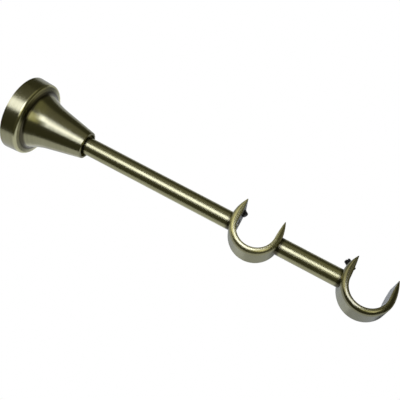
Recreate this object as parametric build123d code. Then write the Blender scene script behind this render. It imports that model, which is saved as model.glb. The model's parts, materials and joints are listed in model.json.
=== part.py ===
"""Double curtain pole bracket for a wall, in millimetres.

A round arm stands out from a small wall plate and carries two open cups, one behind the other, for
two parallel curtain poles. A bell-shaped rose slides along the arm and covers the plate. A slotted
screw in each cup locks its pole.

The wall is the plane x = 0 and the arm's axis is the X axis. The poles run along Y, and the cups
open upwards, along +Z.
"""
import os
from math import cos, radians, sin

from build123d import *

# Poles: what the bracket carries, and how far from the wall
pole_dia = 16.0
pole_play = 0.45  # between a pole and its cup, on the radius
inner_pole_reach = 119.0
end_pole_reach = 170.0

# Cups: a bull-nosed wall round the pole's lower half, with a short front prong and a tall back one
cup_width = 14.0
cup_wall = 2.9
cup_back_wall = 3.7  # where the back prong is thickest
cup_inner_round = 0.5  # the two rounds and the flat between them share out the wall's thickness,
cup_edge_flat = 0.1  # so all three grow and shrink with it
cup_outer_round = 2.3
swell_start = 45.0  # degrees below the arm, where the wall starts to swell towards the back prong
swell_rise = 1.9  # height above the arm's axis at which the back prong is thickest
front_prong_rise = 8.4
back_prong_rise = 10.1
prong_tip = 0.35
prong_tip_width = 13.0
prong_flare = 0.65  # how far a prong leans outwards at its tip
prong_slice_count = 5

# Arm: two lengths of round rod, whose spigots go into the cups' walls
rod_dia = 8.0
rod_seat_wall = 2.05  # cup wall left between a rod's seat and the bore
spigot_dia = 5.0
spigot_recess = 0.25  # a spigot stops this far short of the bore
seat_fit = 0.04  # on the radius

# Locking screws: slotted, radial, through each back prong
lock_dia = 3.0
lock_length = 5.0
lock_angle = 35.0  # degrees above the arm, seen along the pole
lock_fit = 0.05  # on the radius
lock_slot_width = 0.6
lock_slot_depth = 0.9
lock_chamfer = 0.35
inner_lock_gap = 1.0  # from the pole to the screw's point
end_lock_gap = 2.2

# Wall plate, its two holes for wall screws, and the screw that holds it on the arm
plate_thickness = 3.0
plate_rim_gap = 0.3  # between the plate's front edge and the rose round it
wall_hole_dia = 4.4
wall_hole_spacing = 19.0
wall_countersink_dia = 8.4
fixing_dia = 5.0
fixing_head_dia = 9.4
fixing_length = 15.0
fixing_head_sink = 0.1
fixing_socket = 3.0  # across flats
fixing_socket_depth = 1.7
fixing_spare_depth = 1.0  # tapped hole past the screw's end

# Rose: a bell with a plain rim, a shoulder, and a flare that runs into a long cone
rose_length = 34.2
rose_rim_dia = 35.0
rose_rim_taper = 0.45  # how far the rim draws in towards its front, on the radius
rose_rim_depth = 7.6
rose_rim_round = 1.3
rose_flare_dia = 26.7
rose_shoulder_lean = 0.6  # how far the shoulder leans forward
rose_cove = 1.2
rose_cone_start = 18.0
rose_cone_dia = 19.3
rose_tip_dia = 12.6
rose_tip_round = 0.4
rose_wall = 1.5
rose_neck_length = 7.0
rose_guide_gap = 0.15  # round the rod, on the radius
rose_recess_dia = 10.6
rose_recess_depth = 2.0

# What follows from them
bore_r = pole_dia / 2 + pole_play
rod_r = rod_dia / 2
spigot_r = spigot_dia / 2
lock_r = lock_dia / 2
fixing_r = fixing_dia / 2
rod_seat = bore_r + rod_seat_wall  # from the pole's axis
spigot_end = bore_r + spigot_recess


def turned(start, end, radius):
    """A round bar along the arm's axis."""
    return extrude(Plane.YZ.offset(start) * Circle(radius), end - start)


def bell_outline(inset, length):
    """The rose's half outline, drawn inset from its outer face and closed down to the arm's axis."""
    rim_back = (0, rose_rim_dia / 2 - inset)
    rim_front = (rose_rim_depth - inset, rose_rim_dia / 2 - rose_rim_taper - inset)
    flare = (rose_rim_depth + rose_shoulder_lean - inset, rose_flare_dia / 2 - inset)
    cone_start = Vector(rose_cone_start, rose_cone_dia / 2 - inset)
    tip = Vector(rose_length, rose_tip_dia / 2 - inset)
    cone = tip - cone_start
    end = cone_start + cone * ((length - rose_cone_start) / cone.X)
    rim_and_shoulder = Polyline(rim_back, rim_front, flare)
    curve = TangentArc(cone_start, flare, tangent=-cone)
    rest = Polyline(cone_start, end, (length, 0), (0, 0), rim_back)
    outline = make_face([rim_and_shoulder, curve, rest])
    rim_corner = outline.vertices().sort_by_distance(rim_front)[0]
    outline = fillet(rim_corner, max(rose_rim_round - inset, rose_rim_round / 4))
    shoulder_corner = outline.vertices().sort_by_distance(flare)[0]
    return fillet(shoulder_corner, rose_cove)


def wall_rose():
    """The bell: a hollow shell with a guide for the rod in its neck and a recess at its tip."""
    body = revolve(bell_outline(0, rose_length), Axis.X)
    tip_edge = body.edges().filter_by(GeomType.CIRCLE).sort_by(Axis.X)[-1]
    body = fillet(tip_edge, rose_tip_round)
    body -= revolve(bell_outline(rose_wall, rose_length - rose_neck_length), Axis.X)
    body -= turned(0, rose_length, rod_r + rose_guide_gap)
    body -= turned(rose_length - rose_recess_depth, rose_length, rose_recess_dia / 2)
    return body


def countersunk(start, sink_r, hole_r, end):
    """A hole along the arm's axis from start to end, with a right-angled countersink at its start."""
    step = sink_r - hole_r
    way = 1 if end > start else -1
    outline = Polyline(
        (start, 0), (start, sink_r), (start + way * step, hole_r), (end, hole_r), (end, 0), close=True
    )
    return revolve(make_face(outline), Axis.X)


def wall_plate():
    """A steel disc with a countersunk hole for the arm's screw and two more for screws into the wall."""
    rim_draw_in = rose_rim_taper * plate_thickness / (rose_rim_depth - rose_wall)
    plate_r = rose_rim_dia / 2 - rose_wall - rim_draw_in - plate_rim_gap
    plate = turned(0, plate_thickness, plate_r)
    head_r = fixing_head_dia / 2 + seat_fit
    plate -= turned(0, fixing_head_sink, head_r)
    plate -= countersunk(fixing_head_sink, head_r, fixing_r + seat_fit, plate_thickness)
    wall_hole = countersunk(plate_thickness, wall_countersink_dia / 2, wall_hole_dia / 2, 0)
    for side in (-1, 1):
        plate -= Pos(0, 0, side * wall_hole_spacing / 2) * wall_hole
    return plate


def plate_screw():
    """The countersunk socket screw that draws the arm on to the plate."""
    screw = countersunk(fixing_head_sink, fixing_head_dia / 2, fixing_r, fixing_length)
    socket = Plane.YZ.offset(fixing_head_sink) * RegularPolygon(fixing_socket / 2, 6, major_radius=False)
    return screw - extrude(socket, fixing_socket_depth)


def arm_rod():
    """The long rod from the wall plate to the inner cup, tapped at the wall and turned down to a spigot."""
    rod = turned(plate_thickness, inner_pole_reach - rod_seat, rod_r)
    rod += turned(inner_pole_reach - rod_seat, inner_pole_reach - spigot_end, spigot_r)
    return rod - turned(plate_thickness, fixing_length + fixing_spare_depth, fixing_r + seat_fit)


def spacer_rod():
    """The short rod between the two cups, with a spigot at each end."""
    rod = turned(inner_pole_reach + rod_seat, end_pole_reach - rod_seat, rod_r)
    return rod + turned(inner_pole_reach + spigot_end, end_pole_reach - spigot_end, spigot_r)


def wall_slice(place, out, along, thickness, width=cup_width):
    """A bull-nosed slice through a cup's wall, from the bore outwards, rounder on its outer side."""
    outline = Pos(thickness / 2, 0) * Rectangle(thickness, width)
    scale = thickness / (cup_inner_round + cup_edge_flat + cup_outer_round)
    inner_corners = outline.vertices().sort_by(Axis.X)[:2]
    outline = fillet(inner_corners, cup_inner_round * scale)
    outer_corners = outline.vertices().sort_by(Axis.X)[-2:]
    outline = fillet(outer_corners, cup_outer_round * scale)
    return Plane(origin=place, x_dir=out, z_dir=along) * outline


def prong_slices(side, root, rise, root_height):
    """Slices up a prong. It leans outwards, narrows and thins towards its tip, all in parabolas."""
    for step in range(prong_slice_count):
        lift = step / (prong_slice_count - 1)
        height = rise * lift
        share = (height - root_height) / (rise - root_height)
        thickness = root - (root - prong_tip) * share**2
        width = cup_width - (cup_width - prong_tip_width) * lift**2
        face = side * (bore_r + prong_flare * lift**2)
        yield wall_slice((face, 0, height), (side, 0, 0), (0, 0, 1), thickness, width)


def pole_cup(sockets):
    """A cup about its own pole's axis, with a socket for a rod on each of the sides given."""
    front = list(prong_slices(1, cup_wall, front_prong_rise, 0))
    back = list(prong_slices(-1, cup_back_wall, back_prong_rise, swell_rise))
    waist = cup_back_wall - (cup_back_wall - prong_tip) * (swell_rise / (back_prong_rise - swell_rise)) ** 2
    swell = []
    for share in (0, 1 / 3, 2 / 3):
        angle = radians(180 + swell_start * (1 - share))
        out = Vector(cos(angle), 0, sin(angle))
        along = Vector(sin(angle), 0, -cos(angle))
        swell.append(wall_slice(out * bore_r, out, along, cup_wall + (waist - cup_wall) * share**2))
    cup = revolve(front[0], Axis.Y, 180 - swell_start)
    cup += loft(front)
    cup += loft(swell + back)
    for side in sockets:
        seat, outside = sorted((side * rod_seat, side * 2 * rod_seat))
        cup -= turned(seat, outside, rod_r + seat_fit)
        hole_start, hole_end = sorted((side * bore_r / 2, side * 2 * rod_seat))
        cup -= turned(hole_start, hole_end, spigot_r + seat_fit)
    return cup - extrude(lock_plane(bore_r / 2) * Circle(lock_r + lock_fit), 2 * bore_r)


def lock_plane(reach):
    """A plane across the locking screw's axis, at a distance from the pole's axis, facing outwards."""
    out = Vector(-cos(radians(lock_angle)), 0, sin(radians(lock_angle)))
    return Plane(origin=out * reach, x_dir=(0, 1, 0), z_dir=out)


def locking_screw(reach):
    """A slotted grub screw with a flat, chamfered point. Its slot lies along the pole."""
    screw = extrude(Circle(lock_r), lock_length)
    ends = screw.edges().filter_by(GeomType.CIRCLE)
    screw = chamfer(ends, lock_chamfer)
    slot = Pos(0, 0, lock_length) * Box(lock_dia, lock_slot_width, 2 * lock_slot_depth)
    return lock_plane(reach) * (screw - slot)


nodes = {
    "wall_plate": wall_plate(),
    "plate_screw": plate_screw(),
    "wall_rose": wall_rose(),
    "arm_rod": arm_rod(),
    "inner_cup": Pos(inner_pole_reach, 0, 0) * pole_cup((-1, 1)),
    "spacer_rod": spacer_rod(),
    "end_cup": Pos(end_pole_reach, 0, 0) * pole_cup((-1,)),
    "inner_locking_screw": Pos(inner_pole_reach, 0, 0) * locking_screw(pole_dia / 2 + inner_lock_gap),
    "end_locking_screw": Pos(end_pole_reach, 0, 0) * locking_screw(pole_dia / 2 + end_lock_gap),
}

os.makedirs("parts", exist_ok=True)
for name, shape in nodes.items():
    export_step(shape, f"parts/{name}.step")
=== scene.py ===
import json
import math

import bmesh
import bpy
from mathutils import Matrix, Vector


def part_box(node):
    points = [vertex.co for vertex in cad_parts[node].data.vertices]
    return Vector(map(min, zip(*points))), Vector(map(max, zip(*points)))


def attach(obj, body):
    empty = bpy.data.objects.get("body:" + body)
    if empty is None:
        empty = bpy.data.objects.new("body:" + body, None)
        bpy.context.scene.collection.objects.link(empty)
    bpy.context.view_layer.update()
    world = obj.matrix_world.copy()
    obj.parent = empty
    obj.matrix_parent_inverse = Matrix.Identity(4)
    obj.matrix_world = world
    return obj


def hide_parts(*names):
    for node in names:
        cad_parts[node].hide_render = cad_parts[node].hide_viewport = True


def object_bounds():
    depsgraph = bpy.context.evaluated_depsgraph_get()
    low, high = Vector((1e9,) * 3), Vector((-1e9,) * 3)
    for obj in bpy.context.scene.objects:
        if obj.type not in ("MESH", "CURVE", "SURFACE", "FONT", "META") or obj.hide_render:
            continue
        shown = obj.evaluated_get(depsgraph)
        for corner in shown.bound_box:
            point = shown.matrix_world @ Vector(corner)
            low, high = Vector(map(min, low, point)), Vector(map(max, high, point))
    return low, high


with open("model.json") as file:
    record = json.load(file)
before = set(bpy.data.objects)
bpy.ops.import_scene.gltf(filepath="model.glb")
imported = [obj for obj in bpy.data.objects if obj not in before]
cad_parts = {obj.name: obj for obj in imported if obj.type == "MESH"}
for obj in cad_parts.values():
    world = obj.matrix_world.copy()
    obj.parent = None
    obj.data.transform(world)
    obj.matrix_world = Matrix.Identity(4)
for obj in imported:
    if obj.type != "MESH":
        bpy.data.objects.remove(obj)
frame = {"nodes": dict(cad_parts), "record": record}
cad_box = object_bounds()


# Wall plate and plate screw: a disc stamped from steel, and the countersunk socket screw that draws the
# arm on to it. Both are zinc plated: cool grey, a little cloudy, with the fine scratches of handling.
# The solids already have their shape, so they only get their finish here.
ZINC_BRIGHT = (0.66, 0.67, 0.66, 1)
ZINC_CLOUDY = (0.50, 0.51, 0.52, 1)
ZINC_CLOUDS_PER_METRE = 160
ZINC_SCRATCHES_PER_METRE = 2600
ZINC_SCRATCH_STRETCH = (1.0, 1.0, 0.08)
ZINC_ROUGHNESS = (0.28, 0.46)
ZINC_SCRATCH_DEPTH = 0.000004
GRAIN_CONTRAST = (0.3, 0.7)


def place_node(tree, kind, sockets=None, **settings):
    """Adds a node with its settings, and fills its sockets with values or from other nodes' sockets."""
    node = tree.nodes.new(kind)
    for name, value in settings.items():
        setattr(node, name, value)
    for name, value in (sockets or {}).items():
        if isinstance(value, bpy.types.NodeSocket):
            tree.links.new(value, node.inputs[name])
        else:
            node.inputs[name].default_value = value
    return node


def mix_colours(tree, share, first, second):
    """A colour between two, as the share goes from 0 to 1."""
    mix = place_node(tree, "ShaderNodeMix", {"Factor": share, 6: first, 7: second}, data_type="RGBA")
    return mix.outputs[2]


def spread(tree, value, low, high):
    """A value from 0 to 1, spread from low to high."""
    node = place_node(tree, "ShaderNodeMapRange", {"Value": value, "To Min": low, "To Max": high})
    return node.outputs["Result"]


def new_finish(name, metallic):
    """A new material, with its node tree, its shader and the piece's own coordinates."""
    material = bpy.data.materials.new(name)
    material.use_nodes = True
    tree = material.node_tree
    shader = tree.nodes["Principled BSDF"]
    shader.inputs["Metallic"].default_value = metallic
    where = place_node(tree, "ShaderNodeTexCoord").outputs["Object"]
    return material, tree, shader, where


def share_between(tree, value, low, high, blend="LINEAR"):
    """How far a value is on its way from low to high, from 0 to 1."""
    sockets = {"Value": value, "From Min": low, "From Max": high}
    return place_node(tree, "ShaderNodeMapRange", sockets, interpolation_type=blend).outputs["Result"]


def new_group(name, kind, inputs, outputs):
    """A new node group with its named inputs and outputs, and the sockets that its inputs come from."""
    group = bpy.data.node_groups.new(name, kind)
    for way, sockets in (("INPUT", inputs), ("OUTPUT", outputs)):
        for socket, socket_kind in sockets.items():
            group.interface.new_socket(socket, in_out=way, socket_type="NodeSocket" + socket_kind)
    return group, place_node(group, "NodeGroupInput").outputs


def make_fine_grain():
    """Fine scratches: noise on coordinates that a finish stretches, from 0 in a groove to 1 on a ridge."""
    inputs = {"Vector": "Vector", "Lines per metre": "Float"}
    group, given = new_group("fine grain", "ShaderNodeTree", inputs, {"Grain": "Float"})
    noise = {"Vector": given["Vector"], "Scale": given["Lines per metre"], "Detail": 2.0, "Roughness": 0.6}
    lines = place_node(group, "ShaderNodeTexNoise", noise).outputs["Fac"]
    place_node(group, "NodeGroupOutput", {"Grain": share_between(group, lines, *GRAIN_CONTRAST)})
    return group


fine_grain = make_fine_grain()


def grain_on(tree, where, stretch, lines_per_metre):
    """The fine grain in a finish, with its scratches drawn out along the axes that are stretched."""
    stretched = place_node(tree, "ShaderNodeMapping", {"Vector": where, "Scale": stretch}).outputs["Vector"]
    sockets = {"Vector": stretched, "Lines per metre": lines_per_metre}
    return place_node(tree, "ShaderNodeGroup", sockets, node_tree=fine_grain).outputs["Grain"]


def zinc_plating():
    """Zinc plating: bright and cloudy by turns, with fine scratches."""
    material, tree, shader, where = new_finish("zinc plating", metallic=1.0)
    grain = grain_on(tree, where, ZINC_SCRATCH_STRETCH, ZINC_SCRATCHES_PER_METRE)
    noise = {"Vector": where, "Scale": ZINC_CLOUDS_PER_METRE, "Detail": 4.0}
    clouds = place_node(tree, "ShaderNodeTexNoise", noise).outputs["Fac"]
    tree.links.new(mix_colours(tree, clouds, ZINC_BRIGHT, ZINC_CLOUDY), shader.inputs["Base Color"])
    tree.links.new(spread(tree, clouds, *ZINC_ROUGHNESS), shader.inputs["Roughness"])
    bump = place_node(tree, "ShaderNodeBump", {"Height": grain, "Distance": ZINC_SCRATCH_DEPTH})
    tree.links.new(bump.outputs["Normal"], shader.inputs["Normal"])
    return material


zinc = zinc_plating()
for name in ("wall_plate", "plate_screw"):
    node = frame["nodes"][name]
    node.data.materials.clear()
    node.data.materials.append(zinc)


# Arm rod and spacer rod: lengths of 8 mm steel bar, turned down at the ends to spigots that go into the
# cups. The plating is antique brass: a dull olive yellow, lacquered, with the bar's drawing lines along it.
# Near each joint with a cup, painted shade darkens the colour in a ring, where the cup shades the rod.
MM = 0.001
BRASS = ((0.50, 0.48, 0.275, 1), (0.37, 0.35, 0.18, 1))
TARNISH_PATCHES_PER_METRE = 70
PATCH_TARNISH = 0.7
GROOVE_TARNISH = 0.35
TARNISH_ROUGHENING = (0.85, 1.2)
ROD_LINES_PER_METRE = 3200
ROD_LINE_STRETCH = (0.015, 1.0, 1.0)
ROD_ROUGHNESS = 0.27
GRAIN_DEPTH = 0.0000004
SPIGOT_LENGTH = 1.8 * MM
SPIGOT_RADIUS = 2.5 * MM
TAPPED_END = 16.0 * MM
TAPPED_RADIUS = 2.54 * MM
ROD_EDGE_ROUND = 0.15 * MM
# Painted shade: the dark colour of the rings at the rods' joints and in the rose's cove; then the joint
# rings' reach and fade.
PAINTED_SHADE = (0.10, 0.09, 0.052, 1)
JOINT_PAINTED_SHADE = 1.1 * MM
JOINT_FADE = 1.6 * MM
FAR_FROM_JOINTS = 1.0
ROD_FACETS = 128
ROUND_STEPS = 8
ROUND_GUARD = 0.12 * MM
WELD_DISTANCE = 0.001 * MM
SHARP_ANGLE = math.radians(38)


def calculate(tree, operation, *values):
    """One step of arithmetic on numbers or on other nodes' sockets."""
    return place_node(tree, "ShaderNodeMath", dict(enumerate(values)), operation=operation).outputs[0]


def make_antique_brass():
    """Antique brass plating: the colour and gloss vary in soft patches and with the grain."""
    inputs = {
        "Vector": "Vector",
        "Grain": "Float",
        "Plating": "Color",
        "Tarnish": "Color",
        "Roughness": "Float",
    }
    outputs = {"Color": "Color", "Roughness": "Float"}
    group, given = new_group("antique brass", "ShaderNodeTree", inputs, outputs)
    noise = {"Vector": given["Vector"], "Scale": TARNISH_PATCHES_PER_METRE, "Detail": 3.0}
    patches = place_node(group, "ShaderNodeTexNoise", noise).outputs["Fac"]
    in_grooves = spread(group, given["Grain"], GROOVE_TARNISH, 0.0)
    dull = calculate(group, "MULTIPLY_ADD", patches, PATCH_TARNISH, in_grooves)
    colour = mix_colours(group, dull, given["Plating"], given["Tarnish"])
    roughened = spread(group, dull, *TARNISH_ROUGHENING)
    roughness = calculate(group, "MULTIPLY", given["Roughness"], roughened)
    place_node(group, "NodeGroupOutput", {"Color": colour, "Roughness": roughness})
    return group


antique_brass = make_antique_brass()


def make_painted_shade_and_highlight():
    """Painted light near a place: painted shade in a recess or at a joint, or a painted highlight on a
    crest, faded out.
    """
    inputs = {"Color": "Color", "Touch": "Color", "Distance": "Float", "Fade": "Float"}
    group, given = new_group("painted_shade_and_highlight", "ShaderNodeTree", inputs, {"Color": "Color"})
    plain = share_between(group, given["Distance"], 0, given["Fade"], "SMOOTHSTEP")
    colour = mix_colours(group, plain, given["Touch"], given["Color"])
    place_node(group, "NodeGroupOutput", {"Color": colour})
    return group


painted_shade_and_highlight = make_painted_shade_and_highlight()


def antique(material, touch, place, fade):
    """Paints shade or a highlight into a finish's colour near a place, which gives the distance past its own
    edge.
    """
    tree = material.node_tree
    base_colour = tree.nodes["Principled BSDF"].inputs["Base Color"]
    where = place_node(tree, "ShaderNodeTexCoord").outputs["Object"]
    sockets = {
        "Color": base_colour.links[0].from_socket,
        "Touch": touch,
        "Distance": place(tree, where),
        "Fade": fade,
    }
    touched = place_node(tree, "ShaderNodeGroup", sockets, node_tree=painted_shade_and_highlight).outputs["Color"]
    tree.links.new(touched, base_colour)


def brass_finish(name, colours, roughness, stretch, lines_per_metre, around=None):
    """Antique brass with its grain along the stretched axes, in the piece's own coordinates or in others."""
    material, tree, shader, where = new_finish(name, metallic=1.0)
    grain_place = around(tree, where) if around else where
    grain = grain_on(tree, grain_place, stretch, lines_per_metre)
    sockets = {
        "Vector": where,
        "Grain": grain,
        "Plating": colours[0],
        "Tarnish": colours[1],
        "Roughness": roughness,
    }
    plating = place_node(tree, "ShaderNodeGroup", sockets, node_tree=antique_brass).outputs
    tree.links.new(plating["Color"], shader.inputs["Base Color"])
    tree.links.new(plating["Roughness"], shader.inputs["Roughness"])
    bump = place_node(tree, "ShaderNodeBump", {"Height": grain, "Distance": GRAIN_DEPTH})
    tree.links.new(bump.outputs["Normal"], shader.inputs["Normal"])
    return material


def turning_grid(tree, rows, seam):
    """A flat grid to turn into a round piece, with each point's row and its step round the piece."""
    sockets = {"Vertices X": rows, "Vertices Y": seam}
    grid = place_node(tree, "GeometryNodeMeshGrid", sockets).outputs["Mesh"]
    index = place_node(tree, "GeometryNodeInputIndex").outputs["Index"]
    row = place_node(tree, "FunctionNodeIntegerMath", {0: index, 1: seam}, operation="DIVIDE")
    step = place_node(tree, "FunctionNodeIntegerMath", {0: index, 1: seam}, operation="MODULO")
    return grid, row.outputs[0], step.outputs[0]


def wrap_up(tree, grid, place):
    """Moves a grid's points to their places on the round piece, and welds its seam and its poles."""
    turned = place_node(tree, "GeometryNodeSetPosition", {"Geometry": grid, "Position": place})
    sockets = {"Geometry": turned.outputs["Geometry"], "Distance": WELD_DISTANCE}
    return place_node(tree, "GeometryNodeMergeByDistance", sockets).outputs["Geometry"]


def put_out(tree, name, geometry, finish):
    """Ends a geometry tree: what it has made becomes real, gets its finish and goes out by its name."""
    real = place_node(tree, "GeometryNodeRealizeInstances", {"Geometry": geometry})
    sockets = {"Geometry": real.outputs["Geometry"], "Material": finish}
    finished = place_node(tree, "GeometryNodeSetMaterial", sockets)
    place_node(tree, "NodeGroupOutput", {name: finished.outputs["Geometry"]})


def make_lathe():
    """A tree that turns an outline, drawn as x and radius, round the arm's axis."""
    inputs = {"Outline": "Geometry", "Facets": "Int", "Finish": "Material"}
    tree, given = new_group("lathe", "GeometryNodeTree", inputs, {"Turned piece": "Geometry"})
    size = place_node(tree, "GeometryNodeAttributeDomainSize", {"Geometry": given["Outline"]})
    seam = place_node(tree, "FunctionNodeIntegerMath", {0: given["Facets"], 1: 1}, operation="ADD")
    grid, row, step = turning_grid(tree, size.outputs["Point Count"], seam.outputs[0])
    position = place_node(tree, "GeometryNodeInputPosition").outputs["Position"]
    sockets = {"Geometry": given["Outline"], "Value": position, "Index": row}
    sample = place_node(tree, "GeometryNodeSampleIndex", sockets, data_type="FLOAT_VECTOR")
    point = place_node(tree, "ShaderNodeSeparateXYZ", {"Vector": sample.outputs["Value"]}).outputs
    turn = calculate(tree, "DIVIDE", step, given["Facets"])
    angle = calculate(tree, "MULTIPLY", turn, 2 * math.pi)
    sockets = {
        "X": point["X"],
        "Y": calculate(tree, "MULTIPLY", point["Y"], calculate(tree, "COSINE", angle)),
        "Z": calculate(tree, "MULTIPLY", point["Y"], calculate(tree, "SINE", angle)),
    }
    place = place_node(tree, "ShaderNodeCombineXYZ", sockets).outputs["Vector"]
    closed = wrap_up(tree, grid, place)
    smooth = place_node(tree, "GeometryNodeSetShadeSmooth", {"Geometry": closed})
    put_out(tree, "Turned piece", smooth.outputs["Geometry"], given["Finish"])
    return tree


lathe = make_lathe()


def shaped_by(tree, piece, settings):
    """Runs a geometry tree on a piece and leaves it as a plain mesh, with its faces outwards."""
    modifier = piece.modifiers.new("shape", "NODES")
    modifier.node_group = tree
    for socket in tree.interface.items_tree:
        if socket.name in settings:
            modifier[socket.identifier] = settings[socket.name]
    bpy.context.view_layer.update()
    evaluated = piece.evaluated_get(bpy.context.evaluated_depsgraph_get())
    mesh = bpy.data.meshes.new_from_object(evaluated)
    piece.modifiers.remove(modifier)
    piece.data = mesh
    face_outwards(mesh)
    return piece


def face_outwards(mesh):
    """Turns a closed mesh's faces outwards, and shades it smooth except at its sharp edges."""
    shell = bmesh.new()
    shell.from_mesh(mesh)
    bmesh.ops.recalc_face_normals(shell, faces=shell.faces)
    for face in shell.faces:
        face.smooth = True
    shell.to_mesh(mesh)
    shell.free()
    mesh.set_sharp_from_angle(angle=SHARP_ANGLE)


def new_piece(name, data):
    """A new object in the scene, from its mesh, or from a lamp or a camera."""
    piece = bpy.data.objects.new(name, data)
    bpy.context.scene.collection.objects.link(piece)
    return piece


def turned_piece(name, outline, finish, facets):
    """A piece turned from an outline of (x, radius) points."""
    mesh = bpy.data.meshes.new(name)
    edges = [(i, i + 1) for i in range(len(outline) - 1)]
    mesh.from_pydata([(x, radius, 0) for x, radius in outline], edges, [])
    return shaped_by(lathe, new_piece(name, mesh), {"Facets": facets, "Finish": finish})


def rounded(corners):
    """An outline through (x, radius, round) corners, with an arc at each corner that has a round."""
    outline = [Vector(corners[0][:2])]
    for before, corner, after in zip(corners, corners[1:], corners[2:]):
        here = Vector(corner[:2])
        if corner[2] == 0:
            outline.append(here)
            continue
        back = (Vector(before[:2]) - here).normalized()
        ahead = (Vector(after[:2]) - here).normalized()
        half = back.angle(ahead) / 2
        reach = corner[2] / math.tan(half)
        centre = here + (back + ahead).normalized() * corner[2] / math.sin(half)
        spoke = here + back * reach - centre
        turn = math.pi - 2 * half
        if back.x * ahead.y > back.y * ahead.x:
            turn = -turn
        outline.append(here + back * (reach + ROUND_GUARD))
        for step in range(ROUND_STEPS + 1):
            outline.append(centre + Matrix.Rotation(turn * step / ROUND_STEPS, 2) @ spoke)
        outline.append(here + ahead * (reach + ROUND_GUARD))
    outline.append(Vector(corners[-1][:2]))
    return outline


rod_brass = brass_finish(
    "brass, drawn along the rod", BRASS, ROD_ROUGHNESS, ROD_LINE_STRETCH, ROD_LINES_PER_METRE
)

arm_low, arm_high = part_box("arm_rod")
rod_radius = arm_high.y
arm_shoulder = arm_high.x - SPIGOT_LENGTH
arm_outline = rounded([
    (TAPPED_END, 0, 0),
    (TAPPED_END, TAPPED_RADIUS, 0),
    (arm_low.x, TAPPED_RADIUS, 0),
    (arm_low.x, rod_radius, ROD_EDGE_ROUND),
    (arm_shoulder, rod_radius, ROD_EDGE_ROUND),
    (arm_shoulder, SPIGOT_RADIUS, 0),
    (arm_high.x, SPIGOT_RADIUS, ROD_EDGE_ROUND),
    (arm_high.x, 0, 0),
])
spacer_low, spacer_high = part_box("spacer_rod")
spacer_start = spacer_low.x + SPIGOT_LENGTH
spacer_end = spacer_high.x - SPIGOT_LENGTH
spacer_outline = rounded([
    (spacer_low.x, 0, 0),
    (spacer_low.x, SPIGOT_RADIUS, ROD_EDGE_ROUND),
    (spacer_start, SPIGOT_RADIUS, 0),
    (spacer_start, rod_radius, ROD_EDGE_ROUND),
    (spacer_end, rod_radius, ROD_EDGE_ROUND),
    (spacer_end, SPIGOT_RADIUS, 0),
    (spacer_high.x, SPIGOT_RADIUS, ROD_EDGE_ROUND),
    (spacer_high.x, 0, 0),
])


def from_joints(tree, where):
    """How far along a rod a place is from the nearest joint with a cup, past the painted shade there."""
    x = place_node(tree, "ShaderNodeSeparateXYZ", {"Vector": where}).outputs["X"]
    nearest = FAR_FROM_JOINTS
    for shoulder in (arm_shoulder, spacer_start, spacer_end):
        away = calculate(tree, "ABSOLUTE", calculate(tree, "SUBTRACT", x, shoulder))
        nearest = calculate(tree, "MINIMUM", away, nearest)
    return calculate(tree, "SUBTRACT", nearest, JOINT_PAINTED_SHADE)


# Painted shade: a dark ring in the rods' colour at each joint with a cup, where the cup shades the rod.
antique(rod_brass, PAINTED_SHADE, from_joints, JOINT_FADE)
for name, outline in (("arm_rod", arm_outline), ("spacer_rod", spacer_outline)):
    rod = turned_piece(name + "_drawn", outline, rod_brass, ROD_FACETS)
    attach(rod, "bracket")
    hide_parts(name)


# Wall rose: a bell spun or pressed from thin brass-plated steel, which slides on the arm and covers the
# plate. Its satin was brushed while it turned, so the grain runs round it. A painted highlight brightens
# the rim's front corner, and painted shade darkens the cove under the shoulder.
ROSE_BRASS = ((0.43, 0.412, 0.245, 1), (0.30, 0.284, 0.16, 1))
ROSE_RINGS_PER_METRE = 2600
ROSE_RING_STRETCH = (1.0, 1.0, 0.02)
ROSE_ROUGHNESS = 0.22
ROSE_FACETS = 192
RIM_TAPER = 0.45 * MM
RIM_DEPTH = 7.6 * MM
RIM_ROUND = 1.3 * MM
FLARE_RADIUS = 13.35 * MM
SHOULDER_LEAN = 0.6 * MM
SHOULDER_COVE = 1.2 * MM
FLARE_STEPS = 16
CONE_START = 18.0 * MM
CONE_RADIUS = 9.65 * MM
TIP_RADIUS = 6.3 * MM
TIP_ROUND = 0.4 * MM
ROSE_WALL = 1.5 * MM
NECK_LENGTH = 7.0 * MM
GUIDE_RADIUS = 4.15 * MM
RECESS_RADIUS = 5.3 * MM
RECESS_DEPTH = 2.0 * MM
# Painted shade in the cove under the shoulder: where it lies, its reach and how far it fades.
COVE_RING = (8.5 * MM, 13.6 * MM, 0)
COVE_PAINTED_SHADE = 0.5 * MM
COVE_FADE = 1.1 * MM
# Painted highlight on the rim's front corner: where it lies, its colour, its reach and how far it fades.
RIM_RING = (7.25 * MM, 16.65 * MM, 0)
RIM_PAINTED_HIGHLIGHT = (0.58, 0.555, 0.32, 1)
RIM_HIGHLIGHT_REACH = 0.4 * MM
RIM_FADE = 0.8 * MM


def round_the_axis(tree, where):
    """Coordinates of a turned piece: along the axis, out from it, and a little of the way round."""
    parts = place_node(tree, "ShaderNodeSeparateXYZ", {"Vector": where}).outputs
    across = place_node(tree, "ShaderNodeCombineXYZ", {"Y": parts["Y"], "Z": parts["Z"]}).outputs["Vector"]
    out = place_node(tree, "ShaderNodeVectorMath", {0: across}, operation="LENGTH").outputs["Value"]
    sockets = {"X": parts["X"], "Y": out, "Z": parts["Z"]}
    return place_node(tree, "ShaderNodeCombineXYZ", sockets).outputs["Vector"]


rose_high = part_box("wall_rose")[1]


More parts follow.
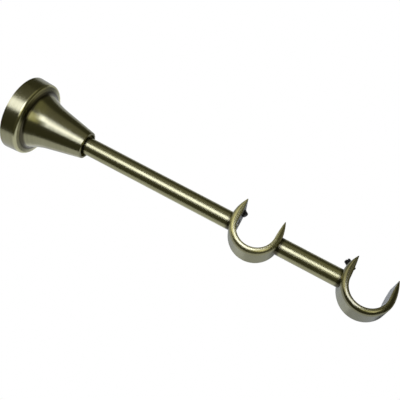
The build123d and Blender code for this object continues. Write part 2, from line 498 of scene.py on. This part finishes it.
def bell_corners(inset, length):
    """The bell's outline, inset from its outer face, from the wall to where it ends along the arm."""
    flare = Vector((RIM_DEPTH + SHOULDER_LEAN - inset, FLARE_RADIUS - inset))
    cone_start = Vector((CONE_START, CONE_RADIUS - inset))
    slope = (TIP_RADIUS - CONE_RADIUS) / (rose_high.x - CONE_START)
    out = Vector((-slope, 1)).normalized()
    across = flare - cone_start
    radius = across.length_squared / (2 * across.dot(out))
    centre = cone_start + out * radius
    spoke = flare - centre
    sweep = spoke.angle_signed(cone_start - centre)
    curve = []
    for step in range(1, FLARE_STEPS + 1):
        point = centre + Matrix.Rotation(-sweep * step / FLARE_STEPS, 2) @ spoke
        curve.append((point.x, point.y, 0))
    rim_round = max(RIM_ROUND - inset, RIM_ROUND / 4)
    return [
        (0, rose_high.y - inset, 0),
        (RIM_DEPTH - inset, rose_high.y - RIM_TAPER - inset, rim_round),
        (flare.x, flare.y, SHOULDER_COVE),
        *curve,
        (length, CONE_RADIUS - inset + slope * (length - CONE_START), 0),
    ]


outside = bell_corners(0, rose_high.x)
inside = bell_corners(ROSE_WALL, rose_high.x - NECK_LENGTH)
outside[-1] = (rose_high.x, TIP_RADIUS, TIP_ROUND)
rose_outline = rounded([
    *outside,
    (rose_high.x, RECESS_RADIUS, 0),
    (rose_high.x - RECESS_DEPTH, RECESS_RADIUS, 0),
    (rose_high.x - RECESS_DEPTH, GUIDE_RADIUS, 0),
    (rose_high.x - NECK_LENGTH, GUIDE_RADIUS, 0),
    *reversed(inside),
    outside[0],
])
rose_brass = brass_finish(
    "brass, brushed round the rose",
    ROSE_BRASS,
    ROSE_ROUGHNESS,
    ROSE_RING_STRETCH,
    ROSE_RINGS_PER_METRE,
    round_the_axis,
)


def past_ring(tree, where, ring, reach):
    """How far a place is from a ring round the axis, given as x and radius, past a reach round it."""
    sockets = {0: round_the_axis(tree, where), 1: (1, 1, 0)}
    section = place_node(tree, "ShaderNodeVectorMath", sockets, operation="MULTIPLY").outputs["Vector"]
    away = place_node(tree, "ShaderNodeVectorMath", {0: section, 1: ring}, operation="DISTANCE")
    return calculate(tree, "SUBTRACT", away.outputs["Value"], reach)


def from_rim(tree, where):
    """How far a place is from the rim's front corner, past the reach of the painted highlight there."""
    return past_ring(tree, where, RIM_RING, RIM_HIGHLIGHT_REACH)


def from_cove(tree, where):
    """How far a place is from the cove under the shoulder, past the reach of the painted shade there."""
    return past_ring(tree, where, COVE_RING, COVE_PAINTED_SHADE)


# Painted highlight: the rim's front corner is brightened in the rose's colour.
antique(rose_brass, RIM_PAINTED_HIGHLIGHT, from_rim, RIM_FADE)
# Painted shade: the cove under the shoulder is darkened in the rose's colour.
antique(rose_brass, PAINTED_SHADE, from_cove, COVE_FADE)
rose = turned_piece("wall_rose_bell", rose_outline, rose_brass, ROSE_FACETS)
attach(rose, "rose")
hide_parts("wall_rose")


# Pole cups: two brass-plated castings, each a bull-nosed strap bent round the pole's lower half, with a
# short front prong and a tall, thicker back one that the locking screw goes through. They are polished
# satin, with a painted highlight along the inner cup's bead crests, and their bores are left unpolished.
INNER_CUP_BRASS = ((0.43, 0.41, 0.235, 1), (0.31, 0.29, 0.15, 1))
END_CUP_BRASS = ((0.36, 0.345, 0.215, 1), (0.26, 0.246, 0.142, 1))
CUP_LINES_PER_METRE = 1800
CUP_LINE_STRETCH = (1.0, 0.25, 1.0)
INNER_CUP_ROUGHNESS = 0.31
END_CUP_ROUGHNESS = 0.22
CUP_EDGE_TINT = (0.7, 0.72, 0.75, 1)
# Painted highlight along the inner cup's bead crests: its colour, its reach and how far it fades.
BEAD_PAINTED_HIGHLIGHT = (0.62, 0.59, 0.34, 1)
BEAD_HIGHLIGHT_REACH = 0.35 * MM
BEAD_FADE = 1.0 * MM
BORE_BRASS = ((0.55, 0.535, 0.43, 1), (0.42, 0.41, 0.325, 1))
BORE_ROUGHNESS = 0.38
BORE_EDGE_TINT = (0.35, 0.37, 0.42, 1)
CUP_INNER_ROUND = 0.5 * MM
CUP_EDGE_FLAT = 0.1 * MM
CUP_OUTER_ROUND = 2.3 * MM
CUP_BACK_WALL = 3.7 * MM
FRONT_PRONG_RISE = 8.4 * MM
PRONG_TIP = 0.35 * MM
PRONG_TIP_WIDTH = 13.0 * MM
PRONG_FLARE = 0.65 * MM
SWELL_START = math.radians(45)
SWELL_RISE = 1.9 * MM
SEAT_FIT = 0.04 * MM
LOCK_ANGLE = math.radians(35)
LOCK_HOLE_RADIUS = 1.55 * MM
LOCK_DRILL_REACH = 2.5  # in bore radii
PRONG_STEPS = 14
BOWL_STEPS = 54
SWELL_STEPS = 18
NOSE_STEPS = 12
FACE_SHARES = (0.06, 0.3, 0.7, 0.94)
HOLE_FACETS = 48

cup_seats = {mount["name"]: mount for mount in frame["record"]["mounts"] if mount["kind"] == "clamp"}
inner_reach = cup_seats["inner_pole_seat"]["pos_m"][0]
end_reach = cup_seats["end_pole_seat"]["pos_m"][0]
bore_radius = cup_seats["inner_pole_seat"]["dims"]["r_mm"] * MM
cup_low, cup_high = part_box("inner_cup")
cup_wall = -cup_low.z - bore_radius
cup_width = 2 * cup_high.y
back_prong_rise = cup_high.z


def cup_stations():
    """Where the wall's inner face is, which way is out, and the wall's thickness and width, tip to tip."""
    for step in range(PRONG_STEPS):
        lift = 1 - step / PRONG_STEPS
        thickness = cup_wall - (cup_wall - PRONG_TIP) * lift**2
        width = cup_width - (cup_width - PRONG_TIP_WIDTH) * lift**2
        face = Vector((bore_radius + PRONG_FLARE * lift**2, 0, FRONT_PRONG_RISE * lift))
        yield face, Vector((1, 0, 0)), thickness, width
    for step in range(BOWL_STEPS):
        angle = (SWELL_START - math.pi) * step / BOWL_STEPS
        out = Vector((math.cos(angle), 0, math.sin(angle)))
        yield out * bore_radius, out, cup_wall, cup_width
    taper = CUP_BACK_WALL - PRONG_TIP
    above_swell = back_prong_rise - SWELL_RISE
    waist = CUP_BACK_WALL - taper * (SWELL_RISE / above_swell) ** 2
    for step in range(SWELL_STEPS):
        share = step / SWELL_STEPS
        angle = math.pi + SWELL_START * (1 - share)
        out = Vector((math.cos(angle), 0, math.sin(angle)))
        yield out * bore_radius, out, cup_wall + (waist - cup_wall) * share**2, cup_width
    for step in range(PRONG_STEPS + 1):
        lift = step / PRONG_STEPS
        thickness = CUP_BACK_WALL - taper * ((back_prong_rise * lift - SWELL_RISE) / above_swell) ** 2
        width = cup_width - (cup_width - PRONG_TIP_WIDTH) * lift**2
        face = Vector((-bore_radius - PRONG_FLARE * lift**2, 0, back_prong_rise * lift))
        yield face, Vector((-1, 0, 0)), thickness, width


def wall_section(thickness, width):
    """Points round a slice of the wall, as distances out from its inner face and along the pole."""
    scale = thickness / (CUP_INNER_ROUND + CUP_EDGE_FLAT + CUP_OUTER_ROUND)
    corners = (
        (0, -width / 2, CUP_INNER_ROUND * scale, math.pi),
        (thickness, -width / 2, CUP_OUTER_ROUND * scale, 1.5 * math.pi),
        (thickness, width / 2, CUP_OUTER_ROUND * scale, 0),
        (0, width / 2, CUP_INNER_ROUND * scale, 0.5 * math.pi),
    )
    arcs = []
    for out, along, nose, start in corners:
        centre_out = nose if out == 0 else out - nose
        centre_along = along + math.copysign(nose, -along)
        arc = []
        for step in range(NOSE_STEPS + 1):
            angle = start + 0.5 * math.pi * step / NOSE_STEPS
            arc.append((centre_out + nose * math.cos(angle), centre_along + nose * math.sin(angle)))
        arcs.append(arc)
    points = []
    for arc, following in zip(arcs, arcs[1:] + arcs[:1]):
        points += arc
        (out_a, along_a), (out_b, along_b) = arc[-1], following[0]
        for share in FACE_SHARES:
            points.append((out_a + (out_b - out_a) * share, along_a + (along_b - along_a) * share))
    return points


def cup_finish(name, colours, roughness, edge_tint):
    """Antique brass with its grain across the strap, and a tint that dims it where it is seen edge on."""
    material = brass_finish(name, colours, roughness, CUP_LINE_STRETCH, CUP_LINES_PER_METRE)
    shader = material.node_tree.nodes["Principled BSDF"]
    shader.inputs["Specular Tint"].default_value = edge_tint
    return material


def from_beads(tree, where):
    """How far in from a cup's beads a place is, past the crest of each, which gets a painted highlight."""
    along = place_node(tree, "ShaderNodeSeparateXYZ", {"Vector": where}).outputs["Y"]
    aside = calculate(tree, "ABSOLUTE", along)
    return calculate(tree, "SUBTRACT", cup_width / 2 - BEAD_HIGHLIGHT_REACH, aside)


inner_cup_brass = cup_finish(
    "brass, polished inner cup", INNER_CUP_BRASS, INNER_CUP_ROUGHNESS, CUP_EDGE_TINT
)
# Painted highlight: a paler colour along the inner cup's bead crests.
antique(inner_cup_brass, BEAD_PAINTED_HIGHLIGHT, from_beads, BEAD_FADE)
end_cup_brass = cup_finish("brass, polished end cup", END_CUP_BRASS, END_CUP_ROUGHNESS, CUP_EDGE_TINT)
bore_brass = cup_finish("brass, unpolished bore", BORE_BRASS, BORE_ROUGHNESS, BORE_EDGE_TINT)


def cup_wall_mesh(name, reach, finish):
    """The cup's wall, as one skin over its stations, closed at both tips. Its bore is left unpolished."""
    rings = []
    skin = bmesh.new()
    for face, out, thickness, width in cup_stations():
        ring = []
        for distance, along in wall_section(thickness, width):
            ring.append(skin.verts.new(face + out * distance + Vector((reach, along, 0))))
        rings.append(ring)
    for ring, following in zip(rings, rings[1:]):
        bore_start = len(ring) - len(FACE_SHARES)
        for i in range(len(ring)):
            patch = skin.faces.new((ring[i - 1], ring[i], following[i], following[i - 1]))
            if i == 0 or i >= bore_start:
                patch.material_index = 1
    skin.faces.new(rings[0])
    skin.faces.new(rings[-1])
    mesh = bpy.data.meshes.new(name)
    skin.to_mesh(mesh)
    skin.free()
    mesh.materials.append(finish)
    mesh.materials.append(bore_brass)
    face_outwards(mesh)
    return mesh


def drill(piece, start, end, radius):
    """Cuts a round hole in a piece from one point to another."""
    way = end - start
    bit = bmesh.new()
    bmesh.ops.create_cone(
        bit, cap_ends=True, segments=HOLE_FACETS, radius1=radius, radius2=radius, depth=way.length
    )
    place = Matrix.Translation((start + end) / 2) @ way.to_track_quat("Z", "Y").to_matrix().to_4x4()
    bmesh.ops.transform(bit, matrix=place, verts=bit.verts)
    mesh = bpy.data.meshes.new("drill")
    bit.to_mesh(mesh)
    bit.free()
    cutter = new_piece("drill", mesh)
    cut = piece.modifiers.new("drill", "BOOLEAN")
    cut.object = cutter
    cut.operation = "DIFFERENCE"
    cut.solver = "EXACT"
    bpy.context.view_layer.update()
    drilled = bpy.data.meshes.new_from_object(piece.evaluated_get(bpy.context.evaluated_depsgraph_get()))
    piece.modifiers.remove(cut)
    piece.data = drilled
    bpy.data.objects.remove(cutter)


lock_way = Vector((-math.cos(LOCK_ANGLE), 0, math.sin(LOCK_ANGLE)))
rod_seat = inner_reach - arm_shoulder
cups = (
    ("inner_cup", inner_reach, (-1, 1), inner_cup_brass),
    ("end_cup", end_reach, (-1,), end_cup_brass),
)
for name, reach, sides, finish in cups:
    cup = new_piece(name + "_cast", cup_wall_mesh(name, reach, finish))
    centre = Vector((reach, 0, 0))
    for side in sides:
        out = Vector((side, 0, 0))
        drill_end = centre + out * 2 * rod_seat
        drill(cup, centre + out * bore_radius / 2, drill_end, SPIGOT_RADIUS + SEAT_FIT)
        drill(cup, centre + out * rod_seat, drill_end, rod_radius + SEAT_FIT)
    drill_end = centre + lock_way * LOCK_DRILL_REACH * bore_radius
    drill(cup, centre + lock_way * bore_radius / 2, drill_end, LOCK_HOLE_RADIUS)
    face_outwards(cup.data)
    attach(cup, "bracket")
    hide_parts(name)


# Locking screws: M3 slotted grub screws of steel, blackened in oil. One stands in each cup's back prong
# and is wound in against the pole. Thread, chamfered ends and slot are cut.
SCREW_BLACK = (0.012, 0.012, 0.013, 1)
SCREW_WORN = (0.05, 0.048, 0.046, 1)
SCREW_ROUGHNESS = (0.42, 0.6)
SCREW_SPECKS_PER_METRE = 2400
SCREW_SPECK_CONTRAST = (0.5, 0.8)
SCREW_LENGTH = 5.0 * MM
SCREW_RADIUS = 1.5 * MM
THREAD_PITCH = 0.5 * MM
THREAD_DEPTH = 0.27 * MM
SCREW_CHAMFER = 0.35 * MM
SLOT_WIDTH = 0.6 * MM
SLOT_DEPTH = 0.9 * MM
SLOT_CUTTER_LENGTH = 3  # in screw radii
SCREW_ROWS = 122
SCREW_FACETS = 40
INNER_LOCK_REACH = 9.0 * MM
END_LOCK_REACH = 10.2 * MM


def black_oxide():
    """Black oxide: dark and matt, with a few specks worn to grey."""
    material, tree, shader, where = new_finish("black oxide", metallic=0.0)
    noise = {"Vector": where, "Scale": SCREW_SPECKS_PER_METRE, "Detail": 3.0}
    specks = place_node(tree, "ShaderNodeTexNoise", noise).outputs["Fac"]
    worn = share_between(tree, specks, *SCREW_SPECK_CONTRAST)
    colour = mix_colours(tree, worn, SCREW_BLACK, SCREW_WORN)
    tree.links.new(colour, shader.inputs["Base Color"])
    tree.links.new(spread(tree, specks, *SCREW_ROUGHNESS), shader.inputs["Roughness"])
    return material


def make_grub_screw():
    """A tree that cuts a grub screw along Z: thread, chamfered ends, and a slot along X at its far end."""
    sizes = ("Radius", "Length", "Pitch", "Thread depth", "Chamfer", "Slot width", "Slot depth")
    inputs = {"Blank": "Geometry", **{size: "Float" for size in sizes}, "Finish": "Material"}
    tree, given = new_group("grub screw", "GeometryNodeTree", inputs, {"Screw": "Geometry"})

    def work(operation, *values):
        return calculate(tree, operation, *values)

    grid, row, step = turning_grid(tree, SCREW_ROWS, SCREW_FACETS + 1)
    turn = work("DIVIDE", step, SCREW_FACETS)
    sockets = {"Value": row, "From Min": 1, "From Max": SCREW_ROWS - 2, "To Max": given["Length"]}
    height = place_node(tree, "ShaderNodeMapRange", sockets).outputs["Result"]
    to_end = work("MINIMUM", height, work("SUBTRACT", given["Length"], height))
    cut_back = work("MAXIMUM", work("SUBTRACT", given["Chamfer"], to_end), 0)
    blank = work("SUBTRACT", given["Radius"], cut_back)
    phase = work("FRACT", work("SUBTRACT", work("DIVIDE", height, given["Pitch"]), turn))
    groove = work("PINGPONG", work("MULTIPLY", phase, 2), 1)
    thread = work("SUBTRACT", given["Radius"], work("MULTIPLY", groove, given["Thread depth"]))
    radius = work("MINIMUM", blank, thread)
    # The first and the last row close the ends, so they are drawn in to the axis.
    inside = work("MULTIPLY", work("GREATER_THAN", row, 0.5), work("LESS_THAN", row, SCREW_ROWS - 1.5))
    radius = work("MULTIPLY", radius, inside)
    angle = work("MULTIPLY", turn, 2 * math.pi)
    sockets = {
        "X": work("MULTIPLY", radius, work("COSINE", angle)),
        "Y": work("MULTIPLY", radius, work("SINE", angle)),
        "Z": height,
    }
    place = place_node(tree, "ShaderNodeCombineXYZ", sockets).outputs["Vector"]
    closed = wrap_up(tree, grid, place)
    sockets = {
        "X": work("MULTIPLY", given["Radius"], SLOT_CUTTER_LENGTH),
        "Y": given["Slot width"],
        "Z": work("MULTIPLY", given["Slot depth"], 2),
    }
    size = place_node(tree, "ShaderNodeCombineXYZ", sockets).outputs["Vector"]
    cutter = place_node(tree, "GeometryNodeMeshCube", {"Size": size}).outputs["Mesh"]
    far_end = place_node(tree, "ShaderNodeCombineXYZ", {"Z": given["Length"]}).outputs["Vector"]
    sockets = {"Geometry": cutter, "Translation": far_end}
    cutter = place_node(tree, "GeometryNodeTransform", sockets).outputs["Geometry"]
    sockets = {"Mesh 1": closed, "Mesh 2": cutter}
    slotted = place_node(tree, "GeometryNodeMeshBoolean", sockets, operation="DIFFERENCE", solver="EXACT")
    put_out(tree, "Screw", slotted.outputs["Mesh"], given["Finish"])
    return tree


grub_screw = make_grub_screw()
screw_black = black_oxide()
screw_sizes = {
    "Radius": SCREW_RADIUS,
    "Length": SCREW_LENGTH,
    "Pitch": THREAD_PITCH,
    "Thread depth": THREAD_DEPTH,
    "Chamfer": SCREW_CHAMFER,
    "Slot width": SLOT_WIDTH,
    "Slot depth": SLOT_DEPTH,
    "Finish": screw_black,
}
along_pole = Vector((0, 1, 0))
screw_axes = Matrix((along_pole, lock_way.cross(along_pole), lock_way)).transposed().to_4x4()
screws = (
    ("inner_locking_screw", "inner_lock", inner_reach, INNER_LOCK_REACH),
    ("end_locking_screw", "end_lock", end_reach, END_LOCK_REACH),
)
for name, body, reach, point_reach in screws:
    screw = shaped_by(grub_screw, new_piece(name + "_threaded", bpy.data.meshes.new(name)), screw_sizes)
    screw.data.transform(Matrix.Translation(Vector((reach, 0, 0)) + lock_way * point_reach) @ screw_axes)
    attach(screw, body)
    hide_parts(name)


# Studio: a pale floor below the bracket, which hangs as on its wall, a small soft lamp overhead, and a
# drum of cards round the arm that only reflections see. Its front is nearly black, with bright strips
# inside it, and its back is pale.
FLOOR_HEIGHT = -0.14
FLOOR_SIZE = 3.0
FLOOR_FADE = (0.30, 0.62)
FLOOR_PALE = (0.96, 0.96, 0.955, 1)
FLOOR_DIM = (0.92, 0.92, 0.915, 1)
FLOOR_MOTTLES_PER_METRE = 12
FLOOR_ROUGHNESS = 0.9
WORLD_WHITE = (1, 1, 1, 1)
AMBIENT = (0.46, 0.46, 0.46, 1)
LAMP_WATTS = 8
LAMP_SIZE = 0.3
LAMP_PLACE = Vector((-0.1, -0.35, 0.9))
CARD_STEPS = 24
DRUM_RADIUS = 1.1
DRUM_REACH = 3.0
STRIP_RADIUS = 1.0
COOL = (0.90, 0.93, 1.2, 1)
PALE = (0.93, 0.96, 1.05, 1)
YELLOW = (1.0, 0.98, 0.55, 1)
WARM = (1.0, 0.97, 0.72, 1)
DEEP = (1.0, 0.97, 0.55, 1)
# Each card has its radius, its span in degrees up from the front, its span along the arm, glow and tint.
CARDS = (
    ("drum_front", DRUM_RADIUS, -99, 107, -DRUM_REACH, DRUM_REACH, 0.06, DEEP),
    ("drum_top", DRUM_RADIUS, 107, 140, -DRUM_REACH, DRUM_REACH, 0.55, PALE),
    ("drum_back", DRUM_RADIUS, 140, 261, -DRUM_REACH, DRUM_REACH, 0.68, PALE),
    ("strip_key_far_left", STRIP_RADIUS, -28, 3, -0.48, -0.37, 3.15, COOL),
    ("strip_key_left", STRIP_RADIUS, -22.5, 12, -0.37, -0.04, 3.4, COOL),
    ("strip_key_middle", STRIP_RADIUS, -36, -4, -0.04, 0.07, 3.2, COOL),
    ("strip_key_right", STRIP_RADIUS, -17.5, 6, 0.07, 0.26, 4.3, COOL),
    ("strip_left", STRIP_RADIUS, -28, 20, -2.20, -0.55, 1.25, WARM),
    ("strip_upper_left", STRIP_RADIUS, 20, 75, -DRUM_REACH, -0.72, 0.70, WARM),
    ("strip_right", STRIP_RADIUS, -36, -4, 0.26, 0.55, 0.74, YELLOW),
    ("strip_far_right", STRIP_RADIUS, -34, -2, 0.55, 0.95, 1.4, WARM),
    ("strip_veil", STRIP_RADIUS, 8, 58, -0.40, 0.16, 0.19, WARM),
    ("strip_veil_right", STRIP_RADIUS, 8, 58, 0.16, 0.50, 0.26, YELLOW),
    ("strip_back_left", STRIP_RADIUS, 172, 208, -0.27, 0.06, 1.00, PALE),
    ("strip_back_middle", STRIP_RADIUS, 146, 170, 0.03, 0.17, 3.4, PALE),
    ("strip_back_right", STRIP_RADIUS, 103, 174, 0.42, 0.72, 0.08, PALE),
    ("strip_back_far_right", STRIP_RADIUS, 103, 174, 0.72, DRUM_REACH, 0.24, WARM),
)
DRUM_ENDS = (("drum_left_end", -DRUM_REACH, 0.50, WARM), ("drum_right_end", DRUM_REACH, 0.05, DEEP))
bracket_middle = (cad_box[0] + cad_box[1]) / 2


def floor_finish():
    """Pale and matt. It fades out round the bracket, and from below it can't be seen."""
    material, tree, shader, where = new_finish("pale floor", metallic=0.0)
    noise = {"Vector": where, "Scale": FLOOR_MOTTLES_PER_METRE, "Detail": 5.0}
    mottle = place_node(tree, "ShaderNodeTexNoise", noise).outputs["Fac"]
    tree.links.new(mix_colours(tree, mottle, FLOOR_PALE, FLOOR_DIM), shader.inputs["Base Color"])
    shader.inputs["Roughness"].default_value = FLOOR_ROUGHNESS
    shader.inputs["Specular IOR Level"].default_value = 0.0
    below_bracket = (bracket_middle.x, bracket_middle.y, FLOOR_HEIGHT)
    away = place_node(tree, "ShaderNodeVectorMath", {0: where, 1: below_bracket}, operation="DISTANCE")
    faded = share_between(tree, away.outputs["Value"], *FLOOR_FADE, "SMOOTHSTEP")
    from_below = place_node(tree, "ShaderNodeNewGeometry").outputs["Backfacing"]
    unseen = calculate(tree, "MAXIMUM", faded, from_below)
    clear = place_node(tree, "ShaderNodeBsdfTransparent").outputs["BSDF"]
    sides = place_node(tree, "ShaderNodeMixShader", {0: unseen, 1: shader.outputs["BSDF"], 2: clear})
    tree.links.new(sides.outputs["Shader"], tree.nodes["Material Output"].inputs["Surface"])
    return material


half = FLOOR_SIZE / 2
floor_mesh = bpy.data.meshes.new("floor")
floor_corners = [(x * half, y * half, FLOOR_HEIGHT) for x, y in ((-1, -1), (1, -1), (1, 1), (-1, 1))]
floor_mesh.from_pydata(floor_corners, [], [(0, 1, 2, 3)])
floor_mesh.materials.append(floor_finish())
floor = new_piece("floor", floor_mesh)
floor.visible_glossy = False


def reflection_card(name, points, faces, glow, tint):
    """A glowing card that only reflections see."""
    mesh = bpy.data.meshes.new(name)
    mesh.from_pydata(points, [], faces)
    material = bpy.data.materials.new(name)
    material.use_nodes = True
    tree = material.node_tree
    tree.nodes.remove(tree.nodes["Principled BSDF"])
    light = place_node(tree, "ShaderNodeEmission", {"Color": tint, "Strength": glow})
    tree.links.new(light.outputs["Emission"], tree.nodes["Material Output"].inputs["Surface"])
    mesh.materials.append(material)
    card = new_piece(name, mesh)
    card.visible_camera = False
    card.visible_diffuse = False
    card.visible_transmission = False
    card.visible_shadow = False


def round_the_arm(radius, degrees, x):
    """A point on a drum about the arm's axis, at an angle up from the front."""
    angle = math.radians(degrees)
    return (x, -radius * math.cos(angle), radius * math.sin(angle))


for name, radius, start, end, left, right, glow, tint in CARDS:
    points = []
    for step in range(CARD_STEPS + 1):
        angle = start + (end - start) * step / CARD_STEPS
        points += [round_the_arm(radius, angle, left), round_the_arm(radius, angle, right)]
    faces = [(2 * i, 2 * i + 1, 2 * i + 3, 2 * i + 2) for i in range(CARD_STEPS)]
    reflection_card(name, points, faces, glow, tint)
for name, x, glow, tint in DRUM_ENDS:
    points = [round_the_arm(DRUM_RADIUS, 360 * step / CARD_STEPS, x) for step in range(CARD_STEPS)]
    reflection_card(name, points, [range(CARD_STEPS)], glow, tint)

lamp = bpy.data.lights.new("overhead softbox", "AREA")
lamp.shape = "SQUARE"
lamp.size = LAMP_SIZE
lamp.energy = LAMP_WATTS
softbox = new_piece("overhead_softbox", lamp)
softbox.location = LAMP_PLACE
softbox.rotation_euler = (bracket_middle - LAMP_PLACE).to_track_quat("-Z", "Y").to_euler()
softbox.visible_camera = False
softbox.visible_glossy = False

world = bpy.data.worlds.new("studio")
bpy.context.scene.world = world
world.use_nodes = True
world.cycles.sampling_method = "NONE"
tree = world.node_tree
rays = place_node(tree, "ShaderNodeLightPath").outputs
seen = calculate(tree, "MAXIMUM", rays["Is Camera Ray"], rays["Is Glossy Ray"])
seen = calculate(tree, "MAXIMUM", seen, rays["Is Transmission Ray"])
sky = mix_colours(tree, seen, AMBIENT, WORLD_WHITE)
tree.links.new(sky, tree.nodes["Background"].inputs["Color"])
bpy.context.scene.view_settings.view_transform = "Standard"


# Camera: a normal lens 0.28 m from the middle of the bracket, below it and in front of it, turned so that
# the arm runs down to the right, as in the photo.
CAMERA_PLACE = Vector((0.1438, -0.2530, -0.0961))
CAMERA_RIGHT = Vector((0.8695, -0.0102, 0.4938))
CAMERA_UP = Vector((-0.4555, -0.4027, 0.7939))
CAMERA_LENS = 57.55
CAMERA_SENSOR = 36.0
CAMERA_NEAREST = 0.01

view = bpy.data.cameras.new("camera")
view.sensor_width = CAMERA_SENSOR
view.lens = CAMERA_LENS
view.clip_start = CAMERA_NEAREST
camera = new_piece("camera", view)
turn = Matrix((CAMERA_RIGHT, CAMERA_UP, CAMERA_RIGHT.cross(CAMERA_UP))).transposed()
camera.matrix_world = Matrix.Translation(CAMERA_PLACE) @ turn.to_4x4()
bpy.context.scene.camera = camera

bpy.context.view_layer.update()
